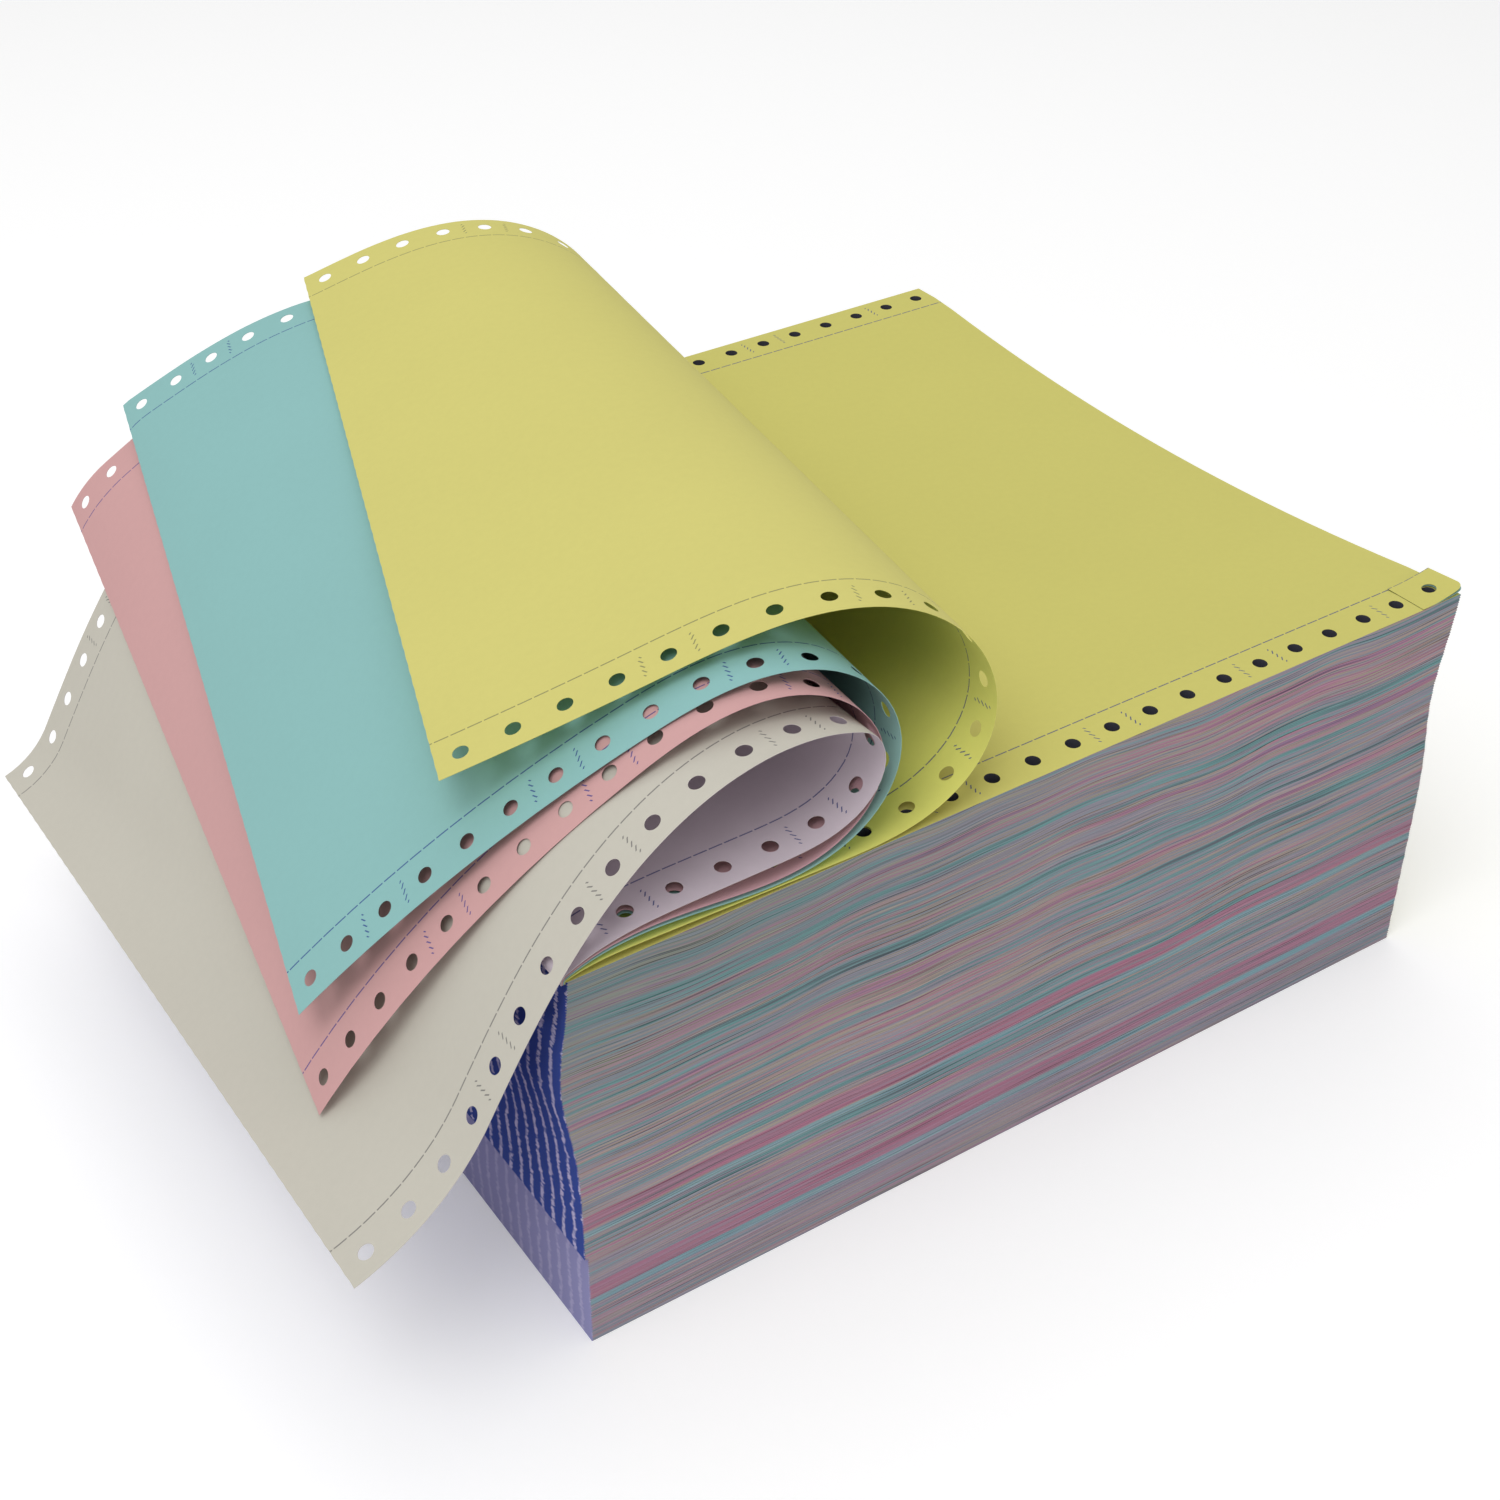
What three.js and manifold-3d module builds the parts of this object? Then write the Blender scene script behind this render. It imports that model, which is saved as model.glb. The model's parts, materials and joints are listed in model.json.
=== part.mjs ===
// Fan-folded four-part computer paper with the four plies of its top set lifted and curled over.
// Millimetres, +Z up. The origin is the centre of the stack's underside, +X runs along the web
// from the left folds to the right folds, and +Y runs across it from the front edge to the back.

import * as THREE from 'three';
import * as BufferGeometryUtils from 'three/addons/utils/BufferGeometryUtils.js';
import Module from 'manifold-3d';

const wasm = await Module();
wasm.setup();

// The web: continuous paper with a strip of sprocket holes along both long edges
const pageLength = 279.4; // from fold to fold
const webWidth = 241.3;
const stripWidth = 12.7; // from the edge to the tear-off perforation
const holePitch = 12.7;
const holeDiameter = 4;
const holeToEdge = 6;
const holeSides = 6;
const plyThickness = 0.1;
const punchLength = 1.6; // through a bent ply

// The stack: heights of the top page's four corners, and its sag between the two strips
const frontLeftHeight = 113.6;
const frontRightHeight = 119.7;
const backLeftHeight = 120.4;
const backRightHeight = 127.6;
const leftSag = 3.5;
const rightSag = 6.9;

// The folded ends: one ridge stands for a few of the real folds
const foldsPerEnd = 50;
const foldDepth = 0.5;

// The pages have slid a little to the left about three quarters of the way up
const slideToLeft = 3.5;
const slideLevel = 0.74; // as a share of the height
const slideSpread = 0.17;

// The lower batch of pages, which stands back a little at the front and the left end
const lowerBatchHeight = 28.5;
const lowerBatchInset = 0.8;

// The end of the front strip, which stands proud at the right corner
const tabLength = 14;
const tabLift = 2;
const tabReach = 0.6; // past the right folds
const tabThickness = 0.3; // a few plies
const tabSteps = 3;

// The top set's folds, which wrap the left edge of the stack one over the other
const firstLift = 0.5; // middle of the lowest ply above the stack
const liftPerPly = 0.5;
const foldClearance = 0.35; // from the stack's left end to the middle of the first ply's fold
const foldSpacing = 0.3; // from one ply's fold to the next
const foldDrop = 0.4; // straight run below the fold, down the stack's left end

// The plies of the top set, from the lowest to the top one. Each is one flat sheet, bent about
// straight lines, so it keeps the length and width of a page. Lengths are measured from the fold
// along the front edge and along the back edge, and turns are in degrees, up and over to the left.
// A ply leaves the fold at its rise, settles on the stack, rolls up, rolls over and runs out.
const plies = [
  {
    name: 'yellow_leaf',
    color: 0xcdc878,
    rise: 18.5,
    settle: { front: 19, back: 39, turn: -19 },
    rollUp: { front: 69, back: 119, turn: 86 },
    rollOver: { front: 128, back: 164, turn: 118 },
    runOut: { front: 224, back: 277, turn: -3 },
  },
  {
    name: 'blue_leaf',
    color: 0x90c0bd,
    rise: 24,
    settle: { front: 37, back: 90, turn: -30 },
    rollUp: { front: 38, back: 122, turn: 106.5 },
    rollOver: { front: 106, back: 131, turn: 113 },
    runOut: { front: 179, back: 277, turn: 16 },
  },
  {
    name: 'pink_leaf',
    color: 0xcca0a0,
    rise: 25.5,
    settle: { front: 38, back: 92, turn: -31 },
    rollUp: { front: 40, back: 110, turn: 122 },
    rollOver: { front: 103, back: 121, turn: 102 },
    runOut: { front: 174, back: 261, turn: 23 },
  },
  {
    name: 'white_leaf',
    color: 0xb9b7ac,
    rise: 27.5,
    settle: { front: 33, back: 78, turn: -26 },
    rollUp: { front: 55, back: 79, turn: 157 },
    rollOver: { front: 105, back: 95, turn: 81 },
    runOut: { front: 233, back: 260, turn: -40 },
  },
];
const settleSteps = 3;
const rollUpSteps = 7;
const rollOverSteps = 8;
const runOutSteps = 2;
const foldSteps = 3;

const holeCount = Math.floor(pageLength / holePitch);
const holeStart = (pageLength - (holeCount - 1) * holePitch) / 2;
const holeRows = [holeToEdge, webWidth - holeToEdge];
const flatness = 0.005; // faces this near to one plane are one face
const mix = THREE.MathUtils.lerp;

// Height of the top page over the point x, y of the page
function stackTop(x, y) {
  const along = THREE.MathUtils.clamp(x / pageLength, 0, 1);
  const across = THREE.MathUtils.clamp(y / webWidth, 0, 1);
  const between = THREE.MathUtils.clamp((y - stripWidth) / (webWidth - 2 * stripWidth), 0, 1);
  const front = mix(frontLeftHeight, frontRightHeight, along);
  const back = mix(backLeftHeight, backRightHeight, along);
  return mix(front, back, across) - mix(leftSag, rightSag, along) * 4 * between * (1 - between);
}

// Sideways slide of the pages at a level from 0 at the bottom to 1 at the top
function slide(level) {
  const bump = (at) => Math.exp(-(((at - slideLevel) / slideSpread) ** 2));
  const straight = mix(bump(0), bump(1), level);
  return -slideToLeft * (bump(level) - straight);
}

function solidFrom(positions, triangles) {
  const geometry = new THREE.BufferGeometry();
  geometry.setAttribute('position', new THREE.Float32BufferAttribute(positions, 3));
  geometry.setIndex(triangles);
  return toManifold(geometry);
}

function toManifold(geometry) {
  const bare = geometry.clone();
  bare.deleteAttribute('normal');
  bare.deleteAttribute('uv');
  const merged = BufferGeometryUtils.mergeVertices(bare, 1e-5);
  return new wasm.Manifold(
    new wasm.Mesh({
      numProp: 3,
      vertProperties: new Float32Array(merged.attributes.position.array),
      triVerts: new Uint32Array(merged.index.array),
      tolerance: flatness,
    }),
  );
}

function toGeometry(solid) {
  const mesh = solid.getMesh();
  const geometry = new THREE.BufferGeometry();
  geometry.setAttribute('position', new THREE.BufferAttribute(mesh.vertProperties, 3));
  geometry.setIndex(new THREE.BufferAttribute(mesh.triVerts, 1));
  geometry.computeVertexNormals();
  return geometry;
}

function namedMesh(name, geometry, color) {
  const material = new THREE.MeshStandardMaterial({ color, roughness: 0.85, metalness: 0 });
  const mesh = new THREE.Mesh(geometry, material);
  mesh.name = name;
  return mesh;
}

// A six-sided punch along a direction, centred on a point
function punch(centre, direction, length) {
  const geometry = new THREE.CylinderGeometry(holeDiameter / 2, holeDiameter / 2, length, holeSides);
  const turn = new THREE.Quaternion().setFromUnitVectors(new THREE.Vector3(0, 1, 0), direction);
  geometry.applyQuaternion(turn);
  geometry.translate(centre.x, centre.y, centre.z);
  return toManifold(geometry);
}

function cutHoles(solid, punches) {
  let left = solid;
  for (const tool of punches) left = left.subtract(tool);
  return left.simplify(flatness);
}

// The rows of points across the web that the top page and every fold line are laid out on
const sagSteps = 5;
const rows = [0];
for (let i = 0; i <= sagSteps; i += 1) {
  rows.push(mix(stripWidth, webWidth - stripWidth, i / sagSteps));
}
rows.push(webWidth);

// The folded block: one outline for each fold line, alternately out at the left and at the right
function foldedBlock() {
  const layers = 2 * foldsPerEnd;
  const last = rows.length - 1;
  const size = 2 * rows.length;
  const positions = [];
  const triangles = [];
  const quad = (a, b, c, d) => triangles.push(a, b, c, a, c, d);
  for (let layer = 0; layer <= layers; layer += 1) {
    const level = layer / layers;
    const leftFold = layer % 2 === 0;
    const inset = level * frontLeftHeight < lowerBatchHeight ? lowerBatchInset : 0;
    const left = slide(level) + inset + (leftFold ? 0 : foldDepth);
    const right = pageLength + slide(level) - (leftFold ? foldDepth : 0);
    rows.forEach((row, r) => {
      const y = r === 0 ? row + inset : row;
      positions.push(left, y, level * stackTop(0, row));
      positions.push(right, y, level * stackTop(pageLength, row));
    });
  }
  for (let layer = 0; layer < layers; layer += 1) {
    const s = layer * size;
    for (let r = 0; r < last; r += 1) {
      const a = s + 2 * r;
      quad(a + 2, a, a + size, a + size + 2);
      quad(a + 1, a + 3, a + size + 3, a + size + 1);
    }
    const b = s + 2 * last;
    quad(s, s + 1, s + size + 1, s + size);
    quad(b + 1, b, b + size, b + size + 1);
  }
  const top = layers * size;
  for (let r = 0; r < 2 * last; r += 2) {
    quad(r, r + 2, r + 3, r + 1);
    quad(top + r, top + r + 1, top + r + 3, top + r + 2);
  }
  return solidFrom(positions, triangles);
}

// The end of the front strip, torn from the page along the perforation and curled up
function stripTab() {
  const positions = [];
  const triangles = [];
  const quad = (a, b, c, d) => triangles.push(a, b, c, a, c, d);
  for (let i = 0; i <= tabSteps; i += 1) {
    const t = i / tabSteps;
    const x = mix(pageLength - tabLength, pageLength + tabReach, t);
    for (const y of [0, stripWidth]) {
      const z = stackTop(x, y) + tabLift * t * t;
      positions.push(x, y, z - tabThickness, x, y, z);
    }
  }
  for (let i = 0; i < tabSteps; i += 1) {
    const s = 4 * i;
    quad(s + 1, s + 5, s + 7, s + 3);
    quad(s, s + 2, s + 6, s + 4);
    quad(s, s + 4, s + 5, s + 1);
    quad(s + 2, s + 3, s + 7, s + 6);
  }
  const e = 4 * tabSteps;
  quad(0, 1, 3, 2);
  quad(e, e + 2, e + 3, e + 1);
  return solidFrom(positions, triangles);
}

function fanfoldStack() {
  const punches = [];
  const up = new THREE.Vector3(0, 0, 1);
  const height = Math.max(backRightHeight, frontRightHeight, backLeftHeight, frontLeftHeight);
  const length = 2 * (height + tabLift);
  for (const y of holeRows) {
    for (let i = 0; i < holeCount; i += 1) {
      punches.push(punch(new THREE.Vector3(holeStart + i * holePitch, y, 0), up, length));
    }
  }
  return toGeometry(cutHoles(foldedBlock().add(stripTab()), punches));
}

// The bend lines of a ply, from the fold to the free end: where each one meets the front edge and
// the back edge of the flat sheet, and how far the sheet turns there
function bendLines(ply, foldLength) {
  const lines = [];
  const addStretch = (from, to, steps, turn, share) => {
    for (let i = 0; i < steps; i += 1) {
      const middle = (i + 0.5) / steps;
      lines.push({
        front: mix(from.front, to.front, middle),
        back: mix(from.back, to.back, middle),
        turn: turn * (share((i + 1) / steps) - share(i / steps)),
      });
    }
  };
  const easeIn = (t) => t * t;
  const easeOut = (t) => 1 - (1 - t) * (1 - t);
  const even = (t) => t;
  const foldStart = { front: -foldLength, back: -foldLength };
  const fold = { front: 0, back: 0 };
  const end = { front: pageLength, back: pageLength };
  addStretch(foldStart, fold, foldSteps, ply.rise - 90, even);
  addStretch(fold, ply.settle, settleSteps, ply.settle.turn, easeOut);
  addStretch(ply.rollUp, ply.rollOver, rollUpSteps, ply.rollUp.turn, easeIn);
  addStretch(ply.rollOver, ply.runOut, rollOverSteps, ply.rollOver.turn, easeOut);
  addStretch(ply.runOut, end, runOutSteps, ply.runOut.turn, even);
  return lines;
}

// The bent sheet: one matrix for each flat stretch between bend lines, which takes a point u, v of
// the flat sheet to its place
function bendSheet(ply, order) {
  const lift = firstLift + liftPerPly * order;
  const rise = THREE.MathUtils.degToRad(ply.rise);
  const radius = (foldClearance + foldSpacing * order) / (1 - Math.sin(rise));
  const foldLength = radius * (Math.PI / 2 - rise);
  const lines = bendLines(ply, foldLength);
  const across = new THREE.Vector3(0, webWidth, backLeftHeight - frontLeftHeight).normalize();
  const along = new THREE.Vector3(0, 0, 1).addScaledVector(across, -across.z).normalize();
  const normal = new THREE.Vector3().crossVectors(along, across);
  const frame = new THREE.Matrix4().makeBasis(along, across, normal);
  const frames = [frame.clone()];
  for (const line of lines) {
    const axis = new THREE.Vector3(line.back - line.front, webWidth, 0).normalize();
    const hinge = new THREE.Matrix4().makeTranslation(line.front, 0, 0);
    hinge.multiply(new THREE.Matrix4().makeRotationAxis(axis, -THREE.MathUtils.degToRad(line.turn)));
    hinge.multiply(new THREE.Matrix4().makeTranslation(-line.front, 0, 0));
    frame.multiply(hinge);
    frames.push(frame.clone());
  }
  // The fold's crest is brought to its height over the stack's top left edge
  const crest = new THREE.Vector3(0, 0, 0).applyMatrix4(frames[foldSteps]);
  const move = new THREE.Matrix4().makeTranslation(
    -crest.x,
    -crest.y,
    frontLeftHeight + lift - crest.z,
  );
  for (const each of frames) each.premultiply(move);
  return { lines, frames, start: -foldLength - foldDrop };
}

function sheetNormal(frame) {
  return new THREE.Vector3().setFromMatrixColumn(frame, 2);
}

function sheetSolid({ lines, frames, start }) {
  const positions = [];
  const triangles = [];
  const addSection = (front, back, frame, normal, reach) => {
    for (const [u, v] of [[front, 0], [back, webWidth]]) {
      const point = new THREE.Vector3(u, v, 0).applyMatrix4(frame);
      for (const side of [1, -1]) {
        const p = point.clone().addScaledVector(normal, (side * reach * plyThickness) / 2);
        positions.push(p.x, p.y, p.z);
      }
    }
  };
  addSection(start, start, frames[0], sheetNormal(frames[0]), 1);
  lines.forEach((line, i) => {
    const normal = sheetNormal(frames[i]).add(sheetNormal(frames[i + 1])).normalize();
    const reach = 1 / Math.cos(THREE.MathUtils.degToRad(line.turn) / 2);
    addSection(line.front, line.back, frames[i], normal, reach);
  });
  const last = frames[frames.length - 1];
  addSection(pageLength, pageLength, last, sheetNormal(last), 1);

  // Each section holds the front edge's upper and lower point, then the back edge's
  const quad = (a, b, c, d) => triangles.push(a, b, c, a, c, d);
  const sections = positions.length / 12;
  for (let i = 0; i < sections - 1; i += 1) {
    const s = 4 * i;
    quad(s, s + 4, s + 6, s + 2);
    quad(s + 1, s + 3, s + 7, s + 5);
    quad(s, s + 1, s + 5, s + 4);
    quad(s + 2, s + 6, s + 7, s + 3);
  }
  const e = 4 * (sections - 1);
  quad(0, 2, 3, 1);
  quad(e, e + 1, e + 3, e + 2);
  return solidFrom(positions, triangles);
}

function sheetPunches({ lines, frames }) {
  const punches = [];
  for (const v of holeRows) {
    for (let i = 0; i < holeCount; i += 1) {
      const u = holeStart + i * holePitch;
      const passed = lines.filter((line) => u > mix(line.front, line.back, v / webWidth)).length;
      const frame = frames[passed];
      const centre = new THREE.Vector3(u, v, 0).applyMatrix4(frame);
      punches.push(punch(centre, sheetNormal(frame), punchLength));
    }
  }
  return punches;
}

function leaf(ply, order) {
  const sheet = bendSheet(ply, order);
  const geometry = toGeometry(cutHoles(sheetSolid(sheet), sheetPunches(sheet)));
  return namedMesh(ply.name, geometry, ply.color);
}

const group = new THREE.Group();
group.position.set(-pageLength / 2, -webWidth / 2, 0);
group.add(namedMesh('fanfold_stack', fanfoldStack(), 0x9c95a0));
plies.forEach((ply, order) => group.add(leaf(ply, order)));

export default group;
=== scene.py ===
# %% [markdown]
# # Fan-folded computer paper
#
# The object is a stack of continuous four-part paper, folded in a zigzag, with the four plies of
# its top set lifted and curled over. The solids of the CAD model give the frame: where the stack
# stands and where each ply lies. This script models the same sheets finely enough to be seen from
# close by, with round sprocket holes and every fold, and gives them their paper.

# %% Load the frame
import json
import math

import bpy
from mathutils import Matrix, Vector

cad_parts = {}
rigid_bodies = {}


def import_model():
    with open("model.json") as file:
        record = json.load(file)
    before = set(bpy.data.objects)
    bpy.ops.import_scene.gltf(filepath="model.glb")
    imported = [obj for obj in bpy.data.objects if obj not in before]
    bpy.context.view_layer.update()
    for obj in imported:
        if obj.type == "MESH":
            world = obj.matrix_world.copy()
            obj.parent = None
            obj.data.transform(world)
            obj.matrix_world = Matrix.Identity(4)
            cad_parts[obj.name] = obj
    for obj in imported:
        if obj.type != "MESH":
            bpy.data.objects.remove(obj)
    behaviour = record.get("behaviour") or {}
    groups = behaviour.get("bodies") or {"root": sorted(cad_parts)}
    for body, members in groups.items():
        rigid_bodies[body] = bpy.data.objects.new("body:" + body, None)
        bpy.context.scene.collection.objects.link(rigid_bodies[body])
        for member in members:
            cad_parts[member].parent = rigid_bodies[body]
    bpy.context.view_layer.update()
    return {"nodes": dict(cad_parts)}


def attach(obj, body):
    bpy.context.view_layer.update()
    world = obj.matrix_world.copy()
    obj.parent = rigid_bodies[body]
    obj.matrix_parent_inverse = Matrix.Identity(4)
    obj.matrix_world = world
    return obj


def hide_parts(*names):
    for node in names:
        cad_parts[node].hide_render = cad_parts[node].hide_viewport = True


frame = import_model()
for thing in bpy.context.scene.objects:
    thing.select_set(False)
print("nodes:", sorted(frame["nodes"]))

# %% [markdown]
# ## Sizes
#
# All lengths are in metres. The page is 11 inches between folds and 9.5 inches wide, with
# sprocket holes every half inch in a strip along both long edges. The page sizes are facts of the
# real paper. The heights are those of the top page's corners, and the rest says how the pages
# have settled. They could be typed where they are used, but kept together they can be changed
# without a search.

# %% Sizes of the page and the stack
MM = 0.001
PAGE = 279.4 * MM
WEB = 241.3 * MM
STRIP = 12.7 * MM
PITCH = 12.7 * MM
HOLE = 4.0 * MM
HOLE_TO_EDGE = 6.0 * MM
HOLES = 22
PLY = 0.1 * MM

FRONT_LEFT, FRONT_RIGHT = 113.6 * MM, 119.7 * MM
BACK_LEFT, BACK_RIGHT = 120.4 * MM, 127.6 * MM
SAG_LEFT, SAG_RIGHT = 3.5 * MM, 6.9 * MM
FOLDS = 158
FOLD_DEPTH = 0.45 * MM
LOWER_BATCH = 28.5 * MM
LOWER_INSET = 0.8 * MM
SLIDE, SLIDE_LEVEL, SLIDE_SPREAD = 3.5 * MM, 0.74, 0.17


def mix(a, b, t):
    return a + (b - a) * t


def clamp(t):
    return min(1.0, max(0.0, t))


def stack_top(x, y):
    """Height of the top page, x from the left folds and y from the front edge."""
    along, across = clamp(x / PAGE), clamp(y / WEB)
    between = clamp((y - STRIP) / (WEB - 2 * STRIP))
    front = mix(FRONT_LEFT, FRONT_RIGHT, along)
    back = mix(BACK_LEFT, BACK_RIGHT, along)
    sag = mix(SAG_LEFT, SAG_RIGHT, along) * 4 * between * (1 - between)
    return mix(front, back, across) - sag


def slide(level):
    """Sideways slide of the pages at a level from 0, at the bottom, to 1, at the top."""
    def bump(at):
        return math.exp(-(((at - SLIDE_LEVEL) / SLIDE_SPREAD) ** 2))

    return -SLIDE * (bump(level) - mix(bump(0), bump(1), level))


print("top page, front left to back right:", round(stack_top(0, 0), 4), round(stack_top(PAGE, WEB), 4))

# %% [markdown]
# ## Helpers
#
# A few short helpers are used by all the pieces: adding a flat grid, cutting the holes with a
# boolean modifier that is then applied, and storing on every point where it lies on the flat
# sheet. Marks could be drawn from the place in the room instead, but a stored place follows the
# sheet round its bends. Operators act on what is selected, so each helper starts by making one
# object the only one selected.

# %% Helpers for modelling
def only(obj):
    """Make one object the only one selected and active."""
    for other in bpy.context.selected_objects:
        other.select_set(False)
    obj.select_set(True)
    bpy.context.view_layer.objects.active = obj
    return obj


def apply_place(obj):
    """Put the object at the origin, with its place in its mesh."""
    only(obj)
    bpy.ops.object.transform_apply(location=True, rotation=True, scale=True)


def apply_modifier(obj, kind, name, **settings):
    """Add a modifier and apply it at once."""
    only(obj)
    modifier = obj.modifiers.new(name, kind)
    for key, value in settings.items():
        setattr(modifier, key, value)
    bpy.ops.object.modifier_apply(modifier=modifier.name)


# %% A flat grid
def grid(name, columns, rows, length, width):
    """A flat grid whose front left corner is at the origin."""
    bpy.ops.mesh.primitive_grid_add(x_subdivisions=columns, y_subdivisions=rows, size=1)
    obj = bpy.context.active_object
    obj.name = obj.data.name = name
    obj.scale = (length, width, 1)
    obj.location = (length / 2, width / 2, 0)
    apply_place(obj)
    return obj


# %% The sprocket punches
def punches(height, sides):
    """The cylinders that cut both rows of sprocket holes, as one object."""
    made = []
    for y in (HOLE_TO_EDGE, WEB - HOLE_TO_EDGE):
        for i in range(HOLES):
            place = (PITCH * (i + 0.5), y, 0)
            bpy.ops.mesh.primitive_cylinder_add(
                vertices=sides, radius=HOLE / 2, depth=height, location=place)
            made.append(bpy.context.active_object)
    for obj in made:
        obj.select_set(True)
    bpy.context.view_layer.objects.active = made[0]
    bpy.ops.object.join()
    tool = bpy.context.active_object
    apply_place(tool)
    return tool


def cut(obj, tool):
    """Take the tool's shape out of the object, and the tool away."""
    apply_modifier(obj, "BOOLEAN", "sprocket_holes", operation="DIFFERENCE", solver="EXACT",
                   object=tool)
    bpy.data.objects.remove(tool)


# %% The place on the flat sheet
def remember_place(obj, name):
    """Keep each point's place on the flat sheet as an attribute of the mesh."""
    mesh = obj.data
    store = mesh.attributes.new(name, "FLOAT_VECTOR", "POINT")
    for point, value in zip(mesh.vertices, store.data):
        value.vector = point.co


# %% [markdown]
# ## The folded block
#
# The real stack is about 158 double pages, so each end shows 158 folds, 0.75 mm apart. A folded
# block is most easily grown the way it is stacked: a flat page is extruded upwards once for every
# page. A loft between two outlines would have fewer steps, but it would have no folds. While the
# block is still straight the sprocket bores are cut through it. Then its points are moved: the
# folds go in and out, the pages follow the sag, and the cut edges stand a hair in or out of line.

# %% The straight block
BLOCK_COLUMNS, BLOCK_ROWS = 9, 26
LAYERS = 2 * FOLDS
LAYER_STEP = 0.37 * MM
BORE_SIDES = 20
BORE_DEPTH = 3 * LAYERS * LAYER_STEP


def straight_block():
    """One page, extruded upwards once for each page above it."""
    block = grid("stack_pages", BLOCK_COLUMNS, BLOCK_ROWS, PAGE, WEB)
    bpy.ops.object.mode_set(mode="EDIT")
    bpy.ops.mesh.select_all(action="SELECT")
    for _ in range(LAYERS):
        bpy.ops.mesh.extrude_region_move(
            TRANSFORM_OT_translate={"value": (0, 0, LAYER_STEP)})
    bpy.ops.mesh.select_all(action="SELECT")
    bpy.ops.mesh.normals_make_consistent(inside=False)
    bpy.ops.object.mode_set(mode="OBJECT")
    return block


block = straight_block()
cut(block, punches(BORE_DEPTH, BORE_SIDES))
print("block:", len(block.data.vertices), "points")

# %% The folds, the sag and the uneven edges
STACK_LEFT, STACK_FRONT = -PAGE / 2, -WEB / 2
EDGE_WANDER = 0.08 * MM
AT_EDGE = 0.001 * MM


def page_wander(layer):
    """A fixed, uneven step of a page's edge, without random numbers."""
    return math.sin(layer * 2.4) * 0.6 + math.sin(layer * 0.37) * 0.8 + math.sin(layer * 5.1) * 0.4


def settle_block(obj):
    """Keep each point's page and level, then move it to where the pages have settled."""
    page = obj.data.attributes.new("page", "FLOAT_VECTOR", "POINT")
    for point, store in zip(obj.data.vertices, page.data):
        x, y, z = point.co
        layer = round(z / LAYER_STEP)
        level = layer / LAYERS
        store.vector = (x, y, level)
        inset = LOWER_INSET if level * FRONT_LEFT < LOWER_BATCH else 0.0
        new_x, new_y = x + slide(level), y
        if x < AT_EDGE:
            new_x += inset + (FOLD_DEPTH if layer % 2 else 0.0)
        if x > PAGE - AT_EDGE:
            new_x -= 0.0 if layer % 2 else FOLD_DEPTH
        calm_at_top = math.sin(math.pi * min(1.0, 4 * (1 - level)) / 2)
        wander = EDGE_WANDER * page_wander(layer) * calm_at_top
        if y < AT_EDGE:
            new_y += wander
        if y > WEB - AT_EDGE:
            new_y -= wander
        point.co = (new_x + STACK_LEFT, new_y + STACK_FRONT, level * stack_top(x, y))


settle_block(block)
print("block box:", [round(v, 4) for v in block.dimensions])

# %% [markdown]
# ## The plies of the top set
#
# Each lifted ply is one flat sheet that is bent but never stretched. A cloth simulation could
# drape it, but it would stretch it a little and wouldn't follow the photographed curl. Paper
# always bends about straight lines. So a flat sheet with its holes is modelled once and copied,
# and each copy is bent about its own lines: it leaves the fold, settles on the stack, rolls up,
# rolls over to the left and runs out to its free end.

# %% One flat sheet with its sprocket holes
SHEET_COLUMNS, SHEET_ROWS = 110, 95
FOLD_FLAP = 6.0 * MM
TORN_EDGE = 0.12 * MM
HOLE_SIDES = 28
HOLE_DEPTH = 20 * PLY
SMOOTH_UNDER = math.radians(40)


def flat_sheet():
    """A page of one ply, with the flap that goes down behind the fold."""
    sheet = grid("flat_sheet", SHEET_COLUMNS, SHEET_ROWS, PAGE + FOLD_FLAP, WEB)
    sheet.location.x = -FOLD_FLAP
    apply_place(sheet)
    bpy.ops.object.mode_set(mode="EDIT")
    bpy.ops.mesh.select_all(action="SELECT")
    bpy.ops.mesh.extrude_region_move(TRANSFORM_OT_translate={"value": (0, 0, PLY)})
    bpy.ops.mesh.select_all(action="SELECT")
    bpy.ops.mesh.normals_make_consistent(inside=False)
    bpy.ops.transform.translate(value=(0, 0, -PLY / 2))
    bpy.ops.object.mode_set(mode="OBJECT")
    cut(sheet, punches(HOLE_DEPTH, HOLE_SIDES))
    return sheet


flat = flat_sheet()
print("flat sheet:", len(flat.data.vertices), "points")

# %% How each ply bends
# Lengths in millimetres from the fold, along the front edge and along the back edge, and turns
# in degrees. The order is from the lowest ply to the top one.
PLIES = {
    "yellow": dict(rise=18.5, settle=(19, 39, -19), roll_up=(69, 119, 86),
                   roll_over=(128, 164, 118), run_out=(224, 277, -3)),
    "blue": dict(rise=24, settle=(37, 90, -30), roll_up=(38, 122, 106.5),
                 roll_over=(106, 131, 113), run_out=(179, 277, 16)),
    "pink": dict(rise=25.5, settle=(38, 92, -31), roll_up=(40, 110, 122),
                 roll_over=(103, 121, 102), run_out=(174, 261, 23)),
    "white": dict(rise=27.5, settle=(33, 78, -26), roll_up=(55, 79, 157),
                  roll_over=(105, 95, 81), run_out=(233, 260, -40)),
}
LIFT = 0.5 * MM
FOLD_CLEARANCE, FOLD_SPACING, FOLD_DROP = 0.35 * MM, 0.3 * MM, 0.4 * MM
FOLD_STEPS, SETTLE_STEPS, ROLL_UP_STEPS, ROLL_OVER_STEPS, RUN_OUT_STEPS = 3, 3, 7, 8, 2
# Each bend line of the CAD model is spread over this many finer ones
SPLIT = 5


def evenly(t):
    return t


def quickening(t):
    return t * t


def slowing(t):
    return 1 - (1 - t) ** 2


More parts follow.
